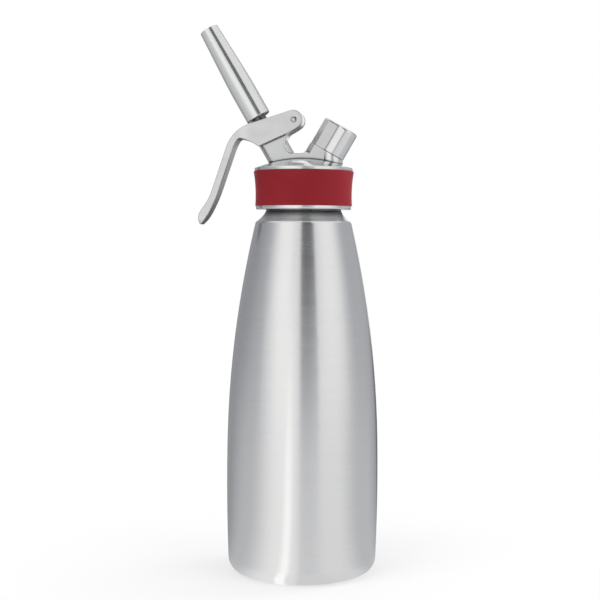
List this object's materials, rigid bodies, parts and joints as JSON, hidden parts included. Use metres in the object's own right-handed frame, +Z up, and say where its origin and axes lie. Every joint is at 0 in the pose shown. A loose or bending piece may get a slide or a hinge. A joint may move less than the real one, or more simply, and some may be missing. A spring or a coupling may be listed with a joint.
{
  "type": "whipped cream dispenser",
  "caption": "Steel whipped cream dispenser: screw-on head with a squeeze lever, tapered nozzle, capped charging port and red heat sleeve.",
  "frame": {"origin": "centre of the bottle's standing ring, on the bottle's axis at the floor", "axes": "+Z up along the bottle's axis; -X towards the nozzle and the lever's grip, +X towards the charging port; +Y the far side, the near side of the lever being -Y"},
  "size_m": [0.1177, 0.0986, 0.3559],
  "materials": {
    "bottle_steel": "circumferentially brushed stainless steel",
    "head_steel": "polished stainless steel",
    "sleeve_silicone": "matt dark red silicone",
    "seal_silicone": "translucent food-grade silicone",
    "lever_steel": "satin stainless steel",
    "turned_steel": "turned stainless steel",
    "nozzle_steel": "polished stainless steel",
    "cap_steel": "polished stainless steel",
    "insert_brass": "turned brass"
  },
  "bodies": {
    "bottle": {"bottle": "bottle_steel", "thread_ring": "turned_steel"},
    "gasket": {"head_gasket": "seal_silicone"},
    "head": {"head": "head_steel", "heat_sleeve": "sleeve_silicone", "charging_valve": "insert_brass", "piercing_pin": "turned_steel", "charger_seal": "seal_silicone", "check_retainer": "turned_steel", "check_spring": "turned_steel", "spring_washer": "turned_steel", "valve_spring": "turned_steel"},
    "lever": {"lever": "lever_steel", "lever_pin": "turned_steel"},
    "stem": {"valve_stem": "turned_steel", "foot_gasket": "seal_silicone", "stem_o_rings": "seal_silicone", "lever_collar": "turned_steel", "stem_clip": "turned_steel"},
    "nozzle_lift": {"nozzle_seal": "seal_silicone"},
    "nozzle": {"nozzle": "nozzle_steel"},
    "cap_lift": {"cap_seal": "seal_silicone"},
    "cap": {"protective_cap": "cap_steel"},
    "ball": {"check_ball": "turned_steel"}
  },
  "joints": [
    {"name": "head_rise", "type": "slide", "parent": "bottle", "child": "gasket", "axis": [0, 0, 1], "range_m": [0, 0.01]},
    {"name": "head_turn", "type": "hinge", "parent": "gasket", "child": "head", "pos_m": [0, 0, 0.2575], "axis": [0, 0, 1], "range_deg": [0, 900]},
    {"name": "lever_pivot", "type": "hinge", "parent": "head", "child": "lever", "pos_m": [-0.00565, 0, 0.29346], "axis": [0, -1, 0], "range_deg": [0, 8.7], "stiffness_Nm_per_rad": 2, "springref_deg": -5.73},
    {"name": "stem_slide", "type": "slide", "parent": "head", "child": "stem", "axis": [0.5, 0, -0.866], "range_m": [0, 0.003], "deforming": ["valve_spring"]},
    {"name": "nozzle_rise", "type": "slide", "parent": "stem", "child": "nozzle_lift", "axis": [-0.5, 0, 0.866], "range_m": [0, 0.005]},
    {"name": "nozzle_turn", "type": "hinge", "parent": "nozzle_lift", "child": "nozzle", "pos_m": [-0.02965, 0, 0.29566], "axis": [-0.5, 0, 0.866], "range_deg": [0, 1440]},
    {"name": "cap_rise", "type": "slide", "parent": "head", "child": "cap_lift", "axis": [0.5, 0, 0.866], "range_m": [0, 0.006]},
    {"name": "cap_turn", "type": "hinge", "parent": "cap_lift", "child": "cap", "pos_m": [0.01823, 0, 0.27197], "axis": [0.5, 0, 0.866], "range_deg": [0, 1440]},
    {"name": "check_slide", "type": "slide", "parent": "head", "child": "ball", "axis": [-0.5, 0, -0.866], "range_m": [0, 0.0008], "stiffness_N_per_m": 40, "springref_m": -0.0005, "deforming": ["check_spring"]}
  ],
  "couplings": [
    {"joint": "head_rise", "follows": "head_turn", "m_per_rad": 0.0006366},
    {"joint": "stem_slide", "follows": "lever_pivot", "m_per_rad": 0.0197},
    {"joint": "nozzle_rise", "follows": "nozzle_turn", "m_per_rad": 0.00019894},
    {"joint": "cap_rise", "follows": "cap_turn", "m_per_rad": 0.00023873}
  ]
}
